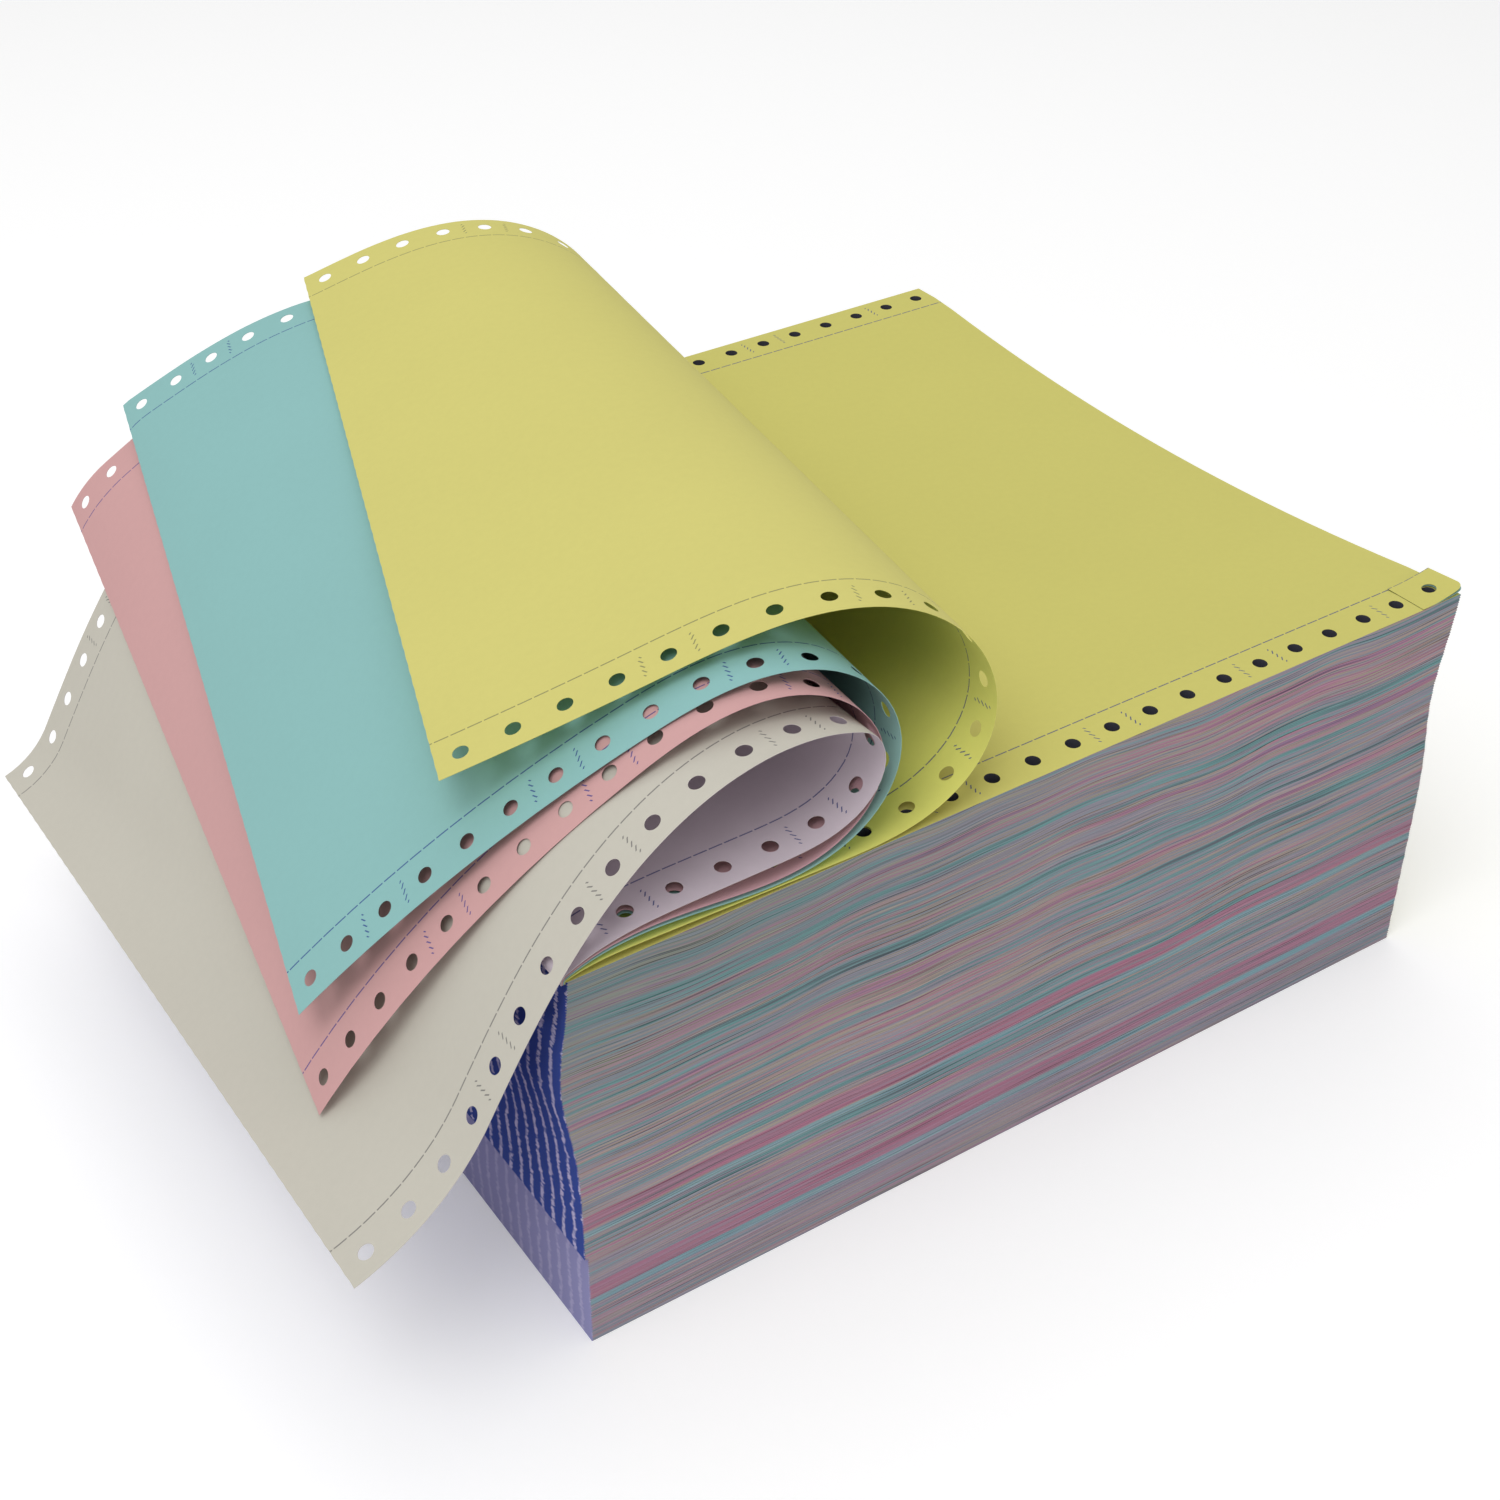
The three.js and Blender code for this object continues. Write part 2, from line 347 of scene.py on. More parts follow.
# %% The bend lines of a ply
def bend_lines(ply, fold_length):
    """The bend lines from the fold to the free end, as front, back and turn."""
    lines = []

    def stretch(start, end, steps, turn, share):
        """Lines from start to end; share says how the turn is spread along them."""
        fine = steps * SPLIT
        for i in range(fine):
            t = (i + 0.5) / fine
            step = i // SPLIT
            part = (share((step + 1) / steps) - share(step / steps)) / SPLIT
            lines.append((mix(start[0], end[0], t), mix(start[1], end[1], t), turn * part))

    fold, end = (0.0, 0.0), (PAGE, PAGE)
    settle, roll_up, roll_over, run_out = (
        (ply[key][0] * MM, ply[key][1] * MM) for key in ("settle", "roll_up", "roll_over", "run_out"))
    stretch((-fold_length, -fold_length), fold, FOLD_STEPS, ply["rise"] - 90, evenly)
    stretch(fold, settle, SETTLE_STEPS, ply["settle"][2], slowing)
    stretch(roll_up, roll_over, ROLL_UP_STEPS, ply["roll_up"][2], quickening)
    stretch(roll_over, run_out, ROLL_OVER_STEPS, ply["roll_over"][2], slowing)
    stretch(run_out, end, RUN_OUT_STEPS, ply["run_out"][2], evenly)
    return lines


def bend_frames(ply, order):
    """One matrix for each flat stretch between bend lines."""
    rise = math.radians(ply["rise"])
    radius = (FOLD_CLEARANCE + FOLD_SPACING * order) / (1 - math.sin(rise))
    fold_length = radius * (math.pi / 2 - rise)
    lines = bend_lines(ply, fold_length)
    across = Vector((0, WEB, BACK_LEFT - FRONT_LEFT)).normalized()
    along = (Vector((0, 0, 1)) - across * across.z).normalized()
    normal = along.cross(across)
    place = Matrix((along, across, normal)).transposed().to_4x4()
    frames = [place.copy()]
    for front, back, turn in lines:
        axis = Vector((back - front, WEB, 0)).normalized()
        hinge = Matrix.Translation((front, 0, 0)) @ Matrix.Rotation(-math.radians(turn), 4, axis)
        place = place @ hinge @ Matrix.Translation((-front, 0, 0))
        frames.append(place.copy())
    crest = frames[FOLD_STEPS * SPLIT] @ Vector((0, 0, 0))
    goal = Vector((0, 0, FRONT_LEFT + LIFT * (1 + order)))
    move = Matrix.Translation(goal - crest + Vector((STACK_LEFT, STACK_FRONT, 0)))
    return lines, [move @ each for each in frames], fold_length


# %% Bend the four plies
def bend(obj, ply, order):
    """Move each point of a flat sheet to where the bends take it."""
    lines, frames, fold_length = bend_frames(ply, order)
    drop = fold_length + FOLD_DROP
    for point in obj.data.vertices:
        u, v, w = point.co
        if u < 0:
            u = u / FOLD_FLAP * drop
        if u > PAGE - AT_EDGE:
            # The free edge was torn along a perforation, which leaves fine teeth
            u -= TORN_EDGE * (round(v / WEB * SHEET_ROWS) % 2)
        passed = sum(1 for front, back, _ in lines if u > mix(front, back, v / WEB))
        point.co = frames[passed] @ Vector((u, v, w))


leaves = {}
for order, (colour, ply) in enumerate(PLIES.items()):
    leaf = flat.copy()
    leaf.data = flat.data.copy()
    leaf.name = leaf.data.name = colour + "_sheet"
    bpy.context.scene.collection.objects.link(leaf)
    remember_place(leaf, "sheet")
    bend(leaf, ply, order)
    only(leaf)
    bpy.ops.object.shade_smooth_by_angle(angle=SMOOTH_UNDER)
    leaves[colour] = leaf
    print(leaf.name, "box", [round(v, 4) for v in leaf.dimensions])
bpy.data.objects.remove(flat)

# %% [markdown]
# ## The torn end of the front strip
#
# At the right front corner the strip has torn from the top page along the perforation. Its end
# curls up, and the blue ply shows below it. It could be cut out of the top page, but a small
# sheet of its own, with a round corner and a hole, is simpler to lift and lies just above it.

# %% The strip's end
TAB = 15.0 * MM
TAB_REACH = 0.6 * MM
TAB_COLUMNS, TAB_ROWS = 24, 16
TAB_CLEARANCE = 0.05 * MM
CORNER_RADIUS = 2.6 * MM
YELLOW_LIFT, BLUE_LIFT = 2.3 * MM, 1.2 * MM
BLUE_PAST_YELLOW = 0.5 * MM


def strip_end(name, lift, reach, place_name):
    """The end of the front strip of one ply, lifted at its corner."""
    tab = grid(name, TAB_COLUMNS, TAB_ROWS, TAB + reach, STRIP)
    bpy.ops.object.mode_set(mode="EDIT")
    bpy.ops.mesh.select_all(action="SELECT")
    bpy.ops.mesh.extrude_region_move(TRANSFORM_OT_translate={"value": (0, 0, PLY)})
    bpy.ops.mesh.select_all(action="SELECT")
    bpy.ops.mesh.normals_make_consistent(inside=False)
    bpy.ops.object.mode_set(mode="OBJECT")
    bpy.ops.mesh.primitive_cylinder_add(
        vertices=HOLE_SIDES, radius=HOLE / 2, depth=HOLE_DEPTH,
        location=(TAB - PITCH / 2, HOLE_TO_EDGE, 0))
    tool = bpy.context.active_object
    cut(tab, tool)
    place = tab.data.attributes.new(place_name, "FLOAT_VECTOR", "POINT")
    round_from = TAB + reach - CORNER_RADIUS
    for point, store in zip(tab.data.vertices, place.data):
        x, y, z = point.co
        store.vector = (PAGE - TAB + x, y, z)
        corner = Vector((max(0.0, x - round_from), max(0.0, CORNER_RADIUS - y)))
        if corner.length > CORNER_RADIUS:
            corner = corner * (CORNER_RADIUS / corner.length)
            x = round_from + corner.x
            y = CORNER_RADIUS - corner.y
        t = x / TAB
        page_x = PAGE - TAB + x
        curl = lift * t * t * mix(1.0, 0.6, y / STRIP)
        height = stack_top(page_x, y) + TAB_CLEARANCE + curl + z
        point.co = (page_x + STACK_LEFT, y + STACK_FRONT, height)
    only(tab)
    bpy.ops.object.shade_smooth_by_angle(angle=SMOOTH_UNDER)
    return tab


yellow_tab = strip_end("yellow_strip_end", YELLOW_LIFT, TAB_REACH, "page")
blue_tab = strip_end("blue_strip_end", BLUE_LIFT, TAB_REACH + BLUE_PAST_YELLOW, "sheet")
print("strip end:", [round(v, 4) for v in yellow_tab.dimensions])

# %% [markdown]
# ## Materials
#
# Paper is matt, with a faint cloud of fibres. What is punched or pressed into the sheet, such as
# the dashed perforation and the rows of crimp ticks that hold the plies together, is only a
# tenth of a millimetre deep. It could be cut into the mesh, but small sums on the place that was
# stored on the sheet draw it just as sharply and follow every bend. The cut edges of the stack
# are thousands of coloured edges, too fine to model, so they are streaks of noise that follow
# the pages. A few helpers come first, so that each finish reads as a short recipe.

# %% Helpers for materials: nodes
SPECULAR = 0.2


def new_material(name, roughness):
    material = bpy.data.materials.new(name)
    material.use_nodes = True
    shader = material.node_tree.nodes["Principled BSDF"]
    shader.inputs["Roughness"].default_value = roughness
    shader.inputs["Specular IOR Level"].default_value = SPECULAR
    return material, shader


def add_node(material, kind, **settings):
    node = material.node_tree.nodes.new(kind)
    for key, value in settings.items():
        setattr(node, key, value)
    return node


def plug(material, socket, value):
    """Join a socket to another, or set it to a number or colour."""
    if isinstance(value, bpy.types.NodeSocket):
        material.node_tree.links.new(value, socket)
    else:
        socket.default_value = value


def place_of(material, name):
    """The three numbers of a stored place."""
    place = add_node(material, "ShaderNodeAttribute", attribute_name=name)
    parts = add_node(material, "ShaderNodeSeparateXYZ")
    plug(material, parts.inputs[0], place.outputs["Vector"])
    return parts.outputs


# %% Helpers for materials: sums
def calc(material, operation, *values):
    node = add_node(material, "ShaderNodeMath", operation=operation)
    for socket, value in zip(node.inputs, values):
        plug(material, socket, value)
    return node.outputs[0]


def within(material, value, centre, reach):
    """1 where a number is within reach of a centre, else 0."""
    away = calc(material, "ABSOLUTE", calc(material, "SUBTRACT", value, centre))
    return calc(material, "LESS_THAN", away, reach)


def noise(material, x, y, z=0.0, detail=2.0, roughness=0.5):
    """Noise at a place that is given as three numbers, already scaled."""
    place = add_node(material, "ShaderNodeCombineXYZ")
    for socket, value in zip(place.inputs, (x, y, z)):
        plug(material, socket, value)
    cloud = add_node(material, "ShaderNodeTexNoise")
    plug(material, cloud.inputs["Vector"], place.outputs[0])
    cloud.inputs["Scale"].default_value = 1.0
    cloud.inputs["Detail"].default_value = detail
    cloud.inputs["Roughness"].default_value = roughness
    return cloud.outputs["Fac"]


def streaks(material, first, second, scales, seed, detail=2.0, roughness=0.5):
    """Noise that changes at its own rate along each of two lengths."""
    return noise(material, calc(material, "MULTIPLY", first, scales[0]),
                 calc(material, "MULTIPLY", second, scales[1]), seed, detail, roughness)


# %% Helpers for materials: colours
def paint(colour):
    """A colour as seen, 0 to 255, turned into the linear values that shaders take."""
    parts = [v / 255 for v in colour]
    linear = [v / 12.92 if v <= 0.04045 else ((v + 0.055) / 1.055) ** 2.4 for v in parts]
    return (*linear, 1)


def mix_colours(material, share, first, second, blend_type="MIX"):
    node = add_node(material, "ShaderNodeMix", data_type="RGBA", blend_type=blend_type)
    plug(material, node.inputs["Factor"], share)
    plug(material, node.inputs[6], first)
    plug(material, node.inputs[7], second)
    return node.outputs[2]


def cover(material, mask, strength, base, colour):
    """Lay a colour over the base where the mask is 1, at a strength."""
    return mix_colours(material, calc(material, "MULTIPLY", mask, strength), base, colour)


def ramp(material, value, stops):
    node = add_node(material, "ShaderNodeValToRGB")
    band = node.color_ramp
    while len(band.elements) < len(stops):
        band.elements.new(0.5)
    for element, (position, colour) in zip(band.elements, stops):
        element.position = position
        element.color = paint(colour)
    plug(material, node.inputs[0], value)
    return node.outputs["Color"]


def add_bump(material, shader, height, strength, distance):
    bump = add_node(material, "ShaderNodeBump")
    bump.inputs["Strength"].default_value = strength
    bump.inputs["Distance"].default_value = distance
    plug(material, bump.inputs["Height"], height)
    plug(material, shader.inputs["Normal"], bump.outputs[0])


print("a middle grey as shaders take it:", round(paint((128, 128, 128))[0], 3))

# %% [markdown]
# ### The perforation and the crimps
#
# A dashed perforation runs along both strips, 12.7 mm from the edge. The plies are held together
# by crimps: rows of four slanted ticks across the strip, half a pitch to each side of every
# fourth sprocket hole. Both are told from where a point lies on the flat sheet.

# %% The marks on a sheet
PERFORATION_REACH = 0.19 * MM
DASH, DASH_SHARE = 4.1 * MM, 0.87
CRIMP_EVERY = 4 * PITCH
CRIMP_FREE_END = 1.5 * PITCH
TICK_STEP = 1.75 * MM
TICK_REACH = 0.2 * MM
TICK_SLANT, TICK_SHARE = 0.7, 0.36
TICK_ROW_MIDDLE, TICK_ROW_REACH = 3.5 * TICK_STEP, 2 * TICK_STEP


def perforation_mask(material, u, edge):
    """1 on the dashes of the perforation, u along the web and edge from the nearer edge."""
    part = calc(material, "FRACT", calc(material, "DIVIDE", u, DASH))
    dash = calc(material, "LESS_THAN", part, DASH_SHARE)
    return calc(material, "MULTIPLY", within(material, edge, STRIP, PERFORATION_REACH), dash)


def crimp_mask(material, from_end, edge, crimp_start):
    """1 on the ticks of the crimps of both strips."""
    cycle = calc(material, "WRAP", calc(material, "SUBTRACT", from_end, crimp_start),
                 CRIMP_EVERY / 2, -CRIMP_EVERY / 2)
    row = calc(material, "SUBTRACT", calc(material, "ABSOLUTE", cycle), PITCH / 2)
    share = calc(material, "FRACT", calc(material, "DIVIDE", edge, TICK_STEP))
    along_tick = calc(material, "MULTIPLY", calc(material, "SUBTRACT", share, 0.5), TICK_STEP)
    slant = calc(material, "MULTIPLY", along_tick, TICK_SLANT)
    tick = within(material, calc(material, "SUBTRACT", row, slant), 0.0, TICK_REACH)
    short = within(material, along_tick, 0.0, TICK_SHARE * TICK_STEP)
    in_row = within(material, edge, TICK_ROW_MIDDLE, TICK_ROW_REACH)
    not_at_end = calc(material, "GREATER_THAN", from_end, CRIMP_FREE_END)
    return calc(material, "MULTIPLY", calc(material, "MULTIPLY", tick, short),
                calc(material, "MULTIPLY", in_row, not_at_end))


# %% The paper
PAPER_ROUGHNESS = 0.82
FIBRE_SCALES, CLOUD_SCALES = (420.0, 420.0), (14.0, 14.0)
DARKEST, LIGHTEST = (0.93, 0.93, 0.93, 1), (1.06, 1.06, 1.06, 1)
PERFORATION_STRENGTH, CRIMP_STRENGTH = 0.8, 0.85
INNER_MARKS = (52, 66, 128)


def paper(name, colour, shade, marks, crimp_start, place_name="sheet"):
    """Matt paper: its colour on the lower side, its shade on the upper one, which is brightened as
    painted bounce light inside the curls, and its marks.
    """
    material, shader = new_material(name, PAPER_ROUGHNESS)
    u, v, w = place_of(material, place_name)
    edge = calc(material, "MINIMUM", v, calc(material, "SUBTRACT", WEB, v))
    from_end = calc(material, "SUBTRACT", PAGE, u)
    fibres = streaks(material, u, v, FIBRE_SCALES, 0.0, 6.0, 0.65)
    clouds = streaks(material, u, v, CLOUD_SCALES, 3.0, 3.0)
    # The upper side, the inside of the curls, takes a brighter colour: painted bounce light, with
    # painted reflection tinting the white ply lilac.
    side = calc(material, "GREATER_THAN", w, 0.0)
    base = mix_colours(material, side, paint(colour), paint(shade))
    light = calc(material, "MULTIPLY", calc(material, "ADD", fibres, clouds), 0.5)
    unevenness = mix_colours(material, light, DARKEST, LIGHTEST)
    tinted = mix_colours(material, 1.0, base, unevenness, "MULTIPLY")
    ink = mix_colours(material, side, paint(marks), paint(INNER_MARKS))
    perforated = cover(material, perforation_mask(material, u, edge), PERFORATION_STRENGTH,
                       tinted, ink)
    crimped = cover(material, crimp_mask(material, from_end, edge, crimp_start), CRIMP_STRENGTH,
                    perforated, ink)
    plug(material, shader.inputs["Base Color"], crimped)
    add_bump(material, shader, fibres, 0.06, 0.1 * MM)
    return material


# %% Give the plies their paper
# The middle of a pair of crimps, counted in sprocket holes from the free end
CRIMP_FROM_END = {"yellow": 4.5, "blue": 2.5, "pink": 4.5, "white": 4.5}
# The colour of the lower side; that of the upper side, brightened and tinted as painted bounce light
# and reflection inside the curls; and that of the marks
SHEET_COLOURS = {
    "yellow": ((211, 204, 120), (232, 228, 122), (128, 128, 92)),
    "blue": ((142, 190, 188), (158, 206, 200), (40, 62, 140)),
    "pink": ((209, 163, 162), (214, 170, 178), (64, 66, 140)),
    "white": ((200, 196, 184), (212, 200, 208), (116, 114, 112)),
}
for colour, leaf in leaves.items():
    leaf.data.materials.clear()
    leaf.data.materials.append(
        paper(colour + "_paper", *SHEET_COLOURS[colour], CRIMP_FROM_END[colour] * PITCH))
blue_tab.data.materials.append(bpy.data.materials["blue_paper"])
print("papers:", sorted(leaf.active_material.name for leaf in leaves.values()))

# %% [markdown]
# ### The stack's finishes
#
# The block shows the yellow top page, the cut edges at the front and back, the left folds with
# blue fold marks, the plain right folds, where the yellow ply is outermost, and the bore walls,
# painted dark grey as shade deep in the holes. One material could tell them apart by place, but
# a slot for each is easier to read and to repaint.

# %% The colours of the cut edges
EDGE_STOPS = [
    (0.0, (112, 116, 128)), (0.24, (126, 178, 178)), (0.38, (160, 154, 170)),
    (0.5, (174, 162, 174)), (0.6, (184, 176, 156)), (0.72, (196, 142, 166)),
    (1.0, (160, 130, 160)),
]
# Dark lines multiplied over the edge colours: painted shade in the gap between pages
GAP_SHADE_STOPS = [(0.32, (140, 140, 140)), (0.42, (228, 228, 228)), (0.7, (255, 255, 255))]
UPPER_LEFT, LOWEST_BATCH = (104, 140, 136), (172, 160, 182)
PINK_BAND, CYAN_BAND = (192, 130, 156), (132, 188, 198)
# Levels of the two strong bands and how far they reach, as shares of the stack's height
PINK_LEVELS, PINK_REACH = (0.352, 0.148), 0.020
CYAN_BELOW, CYAN_REACH = 0.031, 0.008
WAVE_SCALES, WAVE_SIZE = (18.0, 1.5), 0.09
TEAL_RISE, TEAL_REACH = 2.4, 0.7 * PAGE


def wavy_level(material, x, level):
    """The level, made to undulate a little more the higher it is."""
    waves = noise(material, calc(material, "MULTIPLY", x, WAVE_SCALES[0]), 0.0,
                  calc(material, "MULTIPLY", level, WAVE_SCALES[1]), detail=1.0)
    ripple = calc(material, "MULTIPLY", calc(material, "SUBTRACT", waves, 0.5), WAVE_SIZE)
    return calc(material, "ADD", level, calc(material, "MULTIPLY", ripple, level))


def upper_left_mask(material, x, height):
    """1 at the upper left, falling off to the right and downwards."""
    upper = calc(material, "MULTIPLY", calc(material, "SUBTRACT", height, 0.5), TEAL_RISE)
    leftwards = calc(material, "SUBTRACT", 1.0, calc(material, "DIVIDE", x, TEAL_REACH))
    limited = add_node(material, "ShaderNodeClamp")
    plug(material, limited.inputs[0], calc(material, "MULTIPLY", upper, leftwards))
    return limited.outputs[0]


def lowest_batch_mask(material, level):
    return calc(material, "LESS_THAN", level, LOWER_BATCH / FRONT_LEFT)


# %% The cut edges
# How often the streaks change along X and up the stack
BROAD_SCALES, SET_SCALES, PLY_SCALES = (3.0, 26.0), (7.0, 120.0), (16.0, 420.0)
# The two noises add up to 1.6 on average, which is brought to the middle of the ramp
BROAD_SHARE, SET_SHARE, TO_MIDDLE = 1.3, 1.9, 1.1
TEAL_STRENGTH, BATCH_STRENGTH, PINK_STRENGTH, CYAN_STRENGTH = 0.5, 0.3, 1.5, 0.6


def cut_edges():
    """Streaks of many coloured edges, with two pink bands and dark lines of painted shade between the
    pages.
    """
    material, shader = new_material("cut_edges", 0.9)
    x, _, level = place_of(material, "page")
    height = wavy_level(material, x, level)
    broad = streaks(material, x, height, BROAD_SCALES, 1.0)
    sets = streaks(material, x, height, SET_SCALES, 5.0, 3.0, 0.6)
    plies = streaks(material, x, height, PLY_SCALES, 9.0)
    value = calc(material, "ADD", calc(material, "MULTIPLY", broad, BROAD_SHARE),
                 calc(material, "MULTIPLY", sets, SET_SHARE))
    colour = ramp(material, calc(material, "SUBTRACT", value, TO_MIDDLE), EDGE_STOPS)
    colour = cover(material, upper_left_mask(material, x, height), TEAL_STRENGTH, colour,
                   paint(UPPER_LEFT))
    colour = cover(material, lowest_batch_mask(material, level), BATCH_STRENGTH, colour,
                   paint(LOWEST_BATCH))
    for band in PINK_LEVELS:
        pink = within(material, height, band, PINK_REACH)
        cyan = within(material, height, band - CYAN_BELOW, CYAN_REACH)
        uneven = calc(material, "MULTIPLY", sets, PINK_STRENGTH)
        colour = cover(material, pink, uneven, colour, paint(PINK_BAND))
        colour = cover(material, cyan, CYAN_STRENGTH, colour, paint(CYAN_BAND))
    # Painted shade: dark lines in the gap between the pages
    painted_gap_shade = ramp(material, plies, GAP_SHADE_STOPS)
    plug(material, shader.inputs["Base Color"],
         mix_colours(material, 1.0, colour, painted_gap_shade, "MULTIPLY"))
    add_bump(material, shader, plies, 0.35, 0.15 * MM)
    return material


# %% The folded ends
COLUMN_PITCH = 5.2 * MM
COLUMN_WARP = 4.0 * MM
COLUMN_SHARE = 0.35
WARP_SCALES, SPECKLE_SCALES = (14.0, 30.0), (500.0, LAYERS)
MARK_BELOW, PAPER_ABOVE = 0.68, 0.84
PALE_STRENGTH = 0.75


def folded_end(name, mark, paper_colour, pale):
    """Folds with dark marks that are crossed by paler wavy columns."""
    material, shader = new_material(name, 0.85)
    _, y, level = place_of(material, "page")
    warp = streaks(material, level, y, WARP_SCALES, 2.0)
    shifted = calc(material, "ADD", y, calc(material, "MULTIPLY", warp, COLUMN_WARP))
    column = calc(material, "SINE",
                  calc(material, "MULTIPLY", shifted, 2 * math.pi / COLUMN_PITCH))
    speckle = streaks(material, y, level, SPECKLE_SCALES, 4.0)
    value = calc(material, "ADD", calc(material, "MULTIPLY", column, COLUMN_SHARE), speckle)
    colour = ramp(material, value, [(MARK_BELOW, mark), (PAPER_ABOVE, paper_colour)])
    colour = cover(material, lowest_batch_mask(material, level), PALE_STRENGTH, colour,
                   paint(pale))
    plug(material, shader.inputs["Base Color"], colour)
    return material


# %% Make the finishes
# The last colour is painted shade for the deep sprocket bores
TOP_YELLOW, TOP_MARKS, BORE_SHADE_GREY = (206, 200, 112), (96, 100, 84), (72, 72, 84)
TOP_CRIMP = 1.5 * PITCH
# The colour of the fold marks, that of the paper and that of the lowest batch
FOLD_COLOURS = {
    "left_folds": ((66, 86, 164), (206, 200, 226), (176, 172, 208)),
    "right_folds": ((198, 192, 112), (204, 198, 120), (206, 201, 130)),
}
top_page = paper("top_page", TOP_YELLOW, TOP_YELLOW, TOP_MARKS, TOP_CRIMP, "page")
folds = [folded_end(name, *colours) for name, colours in FOLD_COLOURS.items()]
# The bore walls are one dark grey: painted shade deep in the holes, where little light reaches.
bore_walls, bore_shader = new_material("bore_walls", 0.95)
bore_shader.inputs["Base Color"].default_value = paint(BORE_SHADE_GREY)
block.data.materials.clear()
for finish in (top_page, cut_edges(), *folds, bore_walls):
    block.data.materials.append(finish)
yellow_tab.data.materials.append(top_page)
print("finishes:", [m.name for m in block.data.materials])

# %% Give each face its finish
TOP, EDGES, LEFT, RIGHT, BORES = range(5)
NEAR = 0.01 * MM
TOPMOST, LOWEST = 0.999, 0.001
page_places = block.data.attributes["page"].data


def finish_of(face):
    """The slot of a face, told by where its corners lie on the straight block."""
    xs, ys, levels = zip(*(page_places[index].vector for index in face.vertices))
    if min(levels) > TOPMOST or max(levels) < LOWEST:
        return TOP
    if max(xs) < NEAR:
        return LEFT
    if min(xs) > PAGE - NEAR:
        return RIGHT
    if max(ys) < NEAR or min(ys) > WEB - NEAR:
        return EDGES
    return BORES


for face in block.data.polygons:
    face.material_index = finish_of(face)
print("fold faces:", sum(face.material_index == LEFT for face in block.data.polygons))

# %% [markdown]
# ## Riding, replacing and slots
#
# Nothing in a stack of paper turns on a joint, so every piece rides on the one body of the part
# instead of on one another. Each finely modelled sheet stands for the plain solid of the same
# sheet, and the slots say what each piece is made of.

# %% Ride and replace
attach(block, "root")
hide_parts("fanfold_stack")
for colour, leaf in leaves.items():
    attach(leaf, "root")
    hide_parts(colour + "_leaf")
for tab, colour in ((yellow_tab, "yellow"), (blue_tab, "blue")):
    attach(tab, "root")
print("pieces:", 3 + len(leaves))

# %% [markdown]
# ## Floor, light and camera
#
# The floor is white and plain. It could be lit until it is white, but then the paper would be
# too bright as well, so the floor and the backdrop are only whitened where they are seen. A large
# soft lamp stands above and to the left, so the curled plies are bright and the front of the
# stack is in soft shade. The camera stands where the photographer stood.

# %% What is seen directly
def seen_directly(tree):
    """1 for rays from the camera, also by way of gloss or glass."""
    rays = tree.nodes.new("ShaderNodeLightPath")
    through = tree.nodes.new("ShaderNodeMath")
    through.operation = "MAXIMUM"
    tree.links.new(rays.outputs["Is Glossy Ray"], through.inputs[0])
    tree.links.new(rays.outputs["Is Transmission Ray"], through.inputs[1])
    seen = tree.nodes.new("ShaderNodeMath")
    seen.operation = "MAXIMUM"
    tree.links.new(rays.outputs["Is Camera Ray"], seen.inputs[0])
    tree.links.new(through.outputs[0], seen.inputs[1])
    return seen.outputs[0]


def show_instead(tree, plain, seen_shader, output):
    """Show one shader where it is seen directly, and let the other one light the scene."""
    choose = tree.nodes.new("ShaderNodeMixShader")
    tree.links.new(seen_directly(tree), choose.inputs[0])
    tree.links.new(plain.outputs[0], choose.inputs[1])
    tree.links.new(seen_shader.outputs[0], choose.inputs[2])
    tree.links.new(choose.outputs[0], tree.nodes[output].inputs["Surface"])


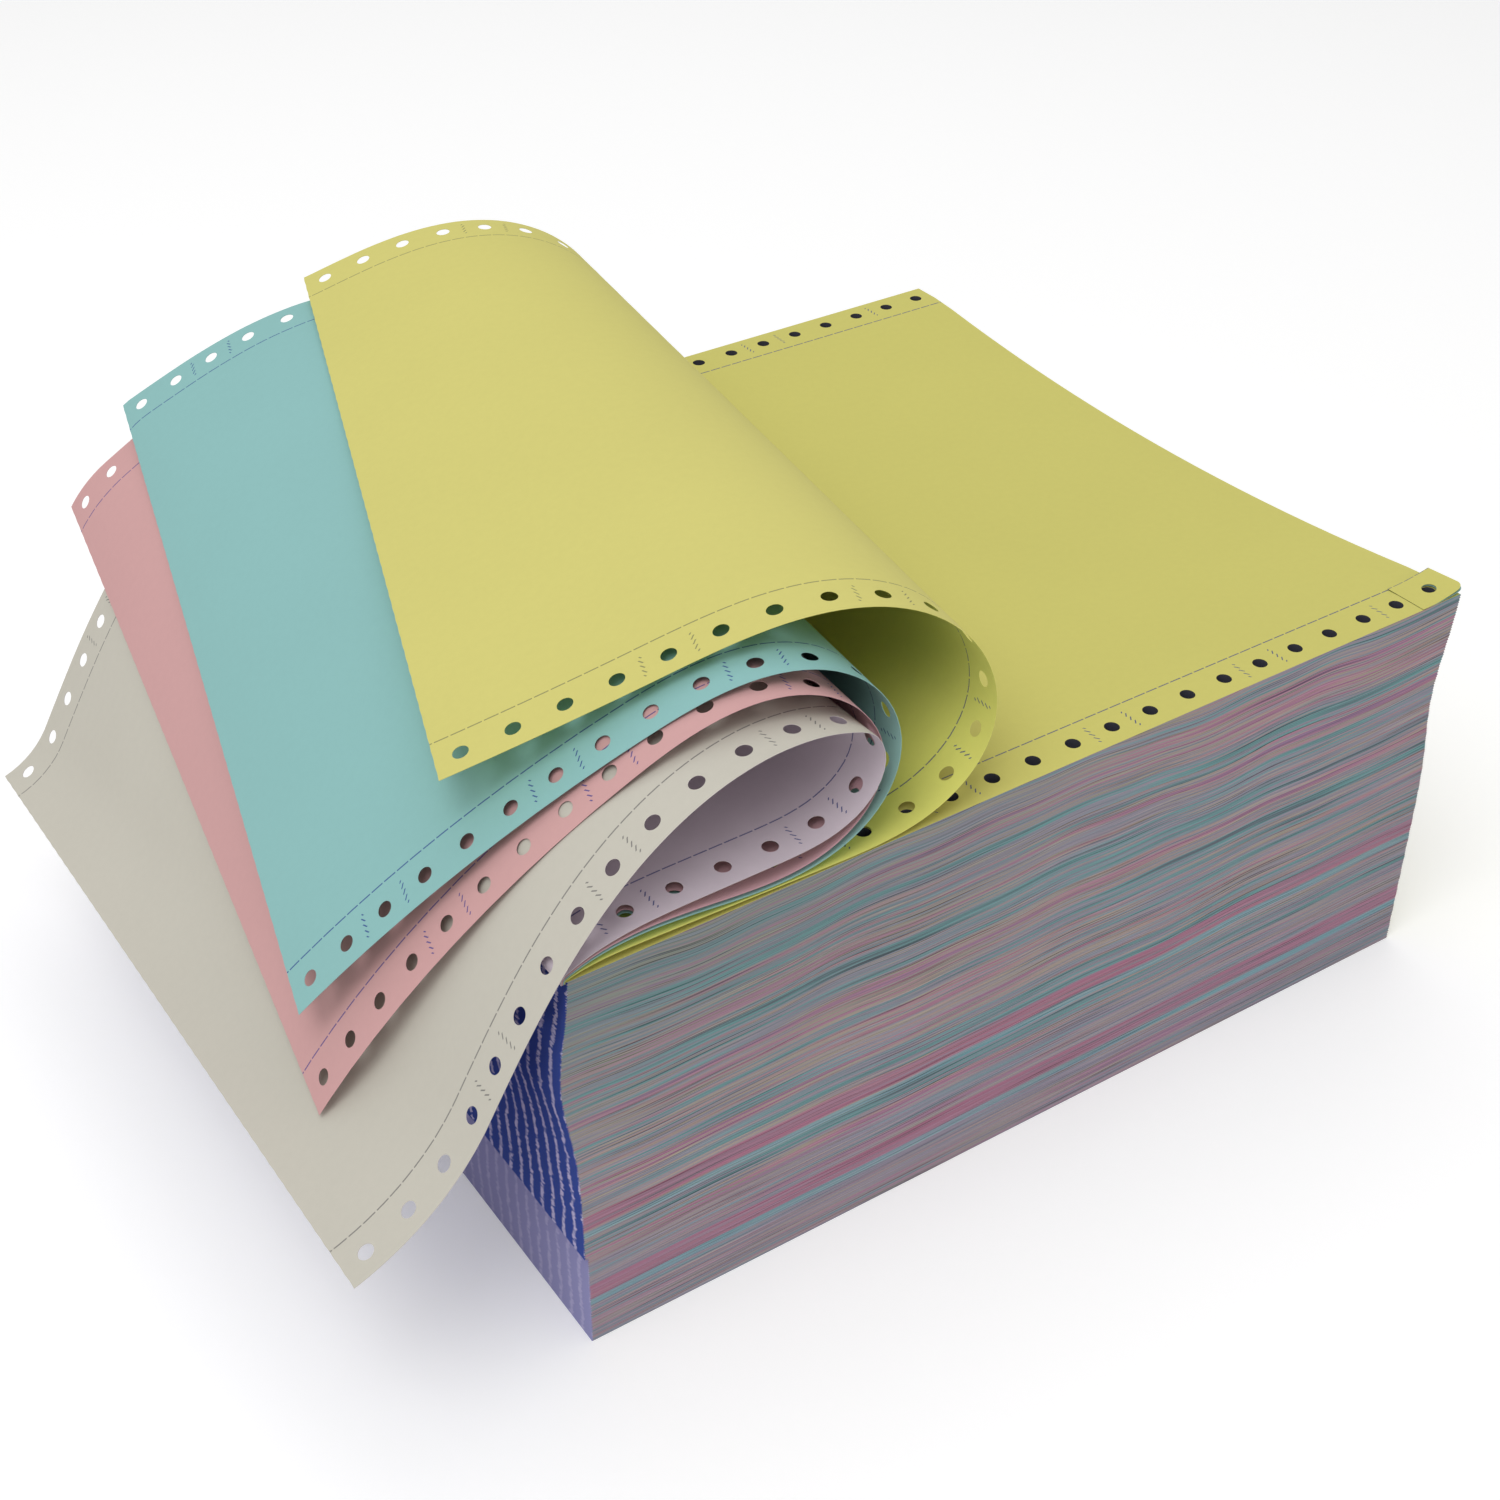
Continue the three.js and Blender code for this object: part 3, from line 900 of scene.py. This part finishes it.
# %% Floor
FLOOR_SIZE, FLOOR_COLOUR, FLOOR_WHITENING = 12, 0.9, 0.24
bpy.ops.mesh.primitive_plane_add(size=FLOOR_SIZE, location=(0, 0, 0))
floor = bpy.context.active_object
floor.name = "floor"
floor_material, floor_shader = new_material("floor_white", 0.9)
floor_shader.inputs["Base Color"].default_value = (FLOOR_COLOUR, FLOOR_COLOUR, FLOOR_COLOUR, 1)
glow = add_node(floor_material, "ShaderNodeEmission")
glow.inputs["Strength"].default_value = FLOOR_WHITENING
whitened = add_node(floor_material, "ShaderNodeAddShader")
plug(floor_material, whitened.inputs[0], floor_shader.outputs[0])
plug(floor_material, whitened.inputs[1], glow.outputs[0])
show_instead(floor_material.node_tree, floor_shader, whitened, "Material Output")
floor.data.materials.append(floor_material)
print("floor:", floor.dimensions.x, "m")

# %% Light all round
SKY_LIGHT = 0.52
world = bpy.data.worlds.new("studio")
bpy.context.scene.world = world
world.use_nodes = True
sky = world.node_tree.nodes["Background"]
sky.inputs["Color"].default_value = (1, 1, 1, 1)
sky.inputs["Strength"].default_value = SKY_LIGHT
backdrop = world.node_tree.nodes.new("ShaderNodeBackground")
backdrop.inputs["Color"].default_value = (1, 1, 1, 1)
show_instead(world.node_tree, sky, backdrop, "World Output")
print("light all round:", SKY_LIGHT)

# %% Lamps
LAMP_AIM = Vector((0, 0, 0.08))


def soft_lamp(name, place, size, power):
    bpy.ops.object.light_add(type="AREA", location=place)
    lamp = bpy.context.active_object
    lamp.name = name
    lamp.data.size = size
    lamp.data.energy = power
    lamp.rotation_euler = (LAMP_AIM - Vector(place)).to_track_quat("-Z", "Y").to_euler()
    return lamp


lamps = [soft_lamp("key", (-0.9, -0.5, 1.7), 1.2, 15), soft_lamp("top", (0.3, 0.6, 1.8), 1.4, 5)]
print("lamps:", [lamp.name for lamp in lamps])

# %% Camera
CAMERA_PLACE = (-0.2978, -0.4270, 0.4037)
CAMERA_AZIMUTH, CAMERA_DOWN = math.radians(33.78), math.radians(33.95)
FOCAL, FRAME, SENSOR = 2104.0, 1500.0, 36.0
bpy.ops.object.camera_add(location=CAMERA_PLACE)
camera = bpy.context.active_object
forward = Vector((
    math.sin(CAMERA_AZIMUTH) * math.cos(CAMERA_DOWN),
    math.cos(CAMERA_AZIMUTH) * math.cos(CAMERA_DOWN),
    -math.sin(CAMERA_DOWN)))
camera.rotation_euler = forward.to_track_quat("-Z", "Y").to_euler()
camera.data.sensor_width = SENSOR
camera.data.lens = FOCAL / FRAME * SENSOR
bpy.context.scene.camera = camera
bpy.context.scene.view_settings.view_transform = "Standard"
print("lens:", round(camera.data.lens, 1), "mm")
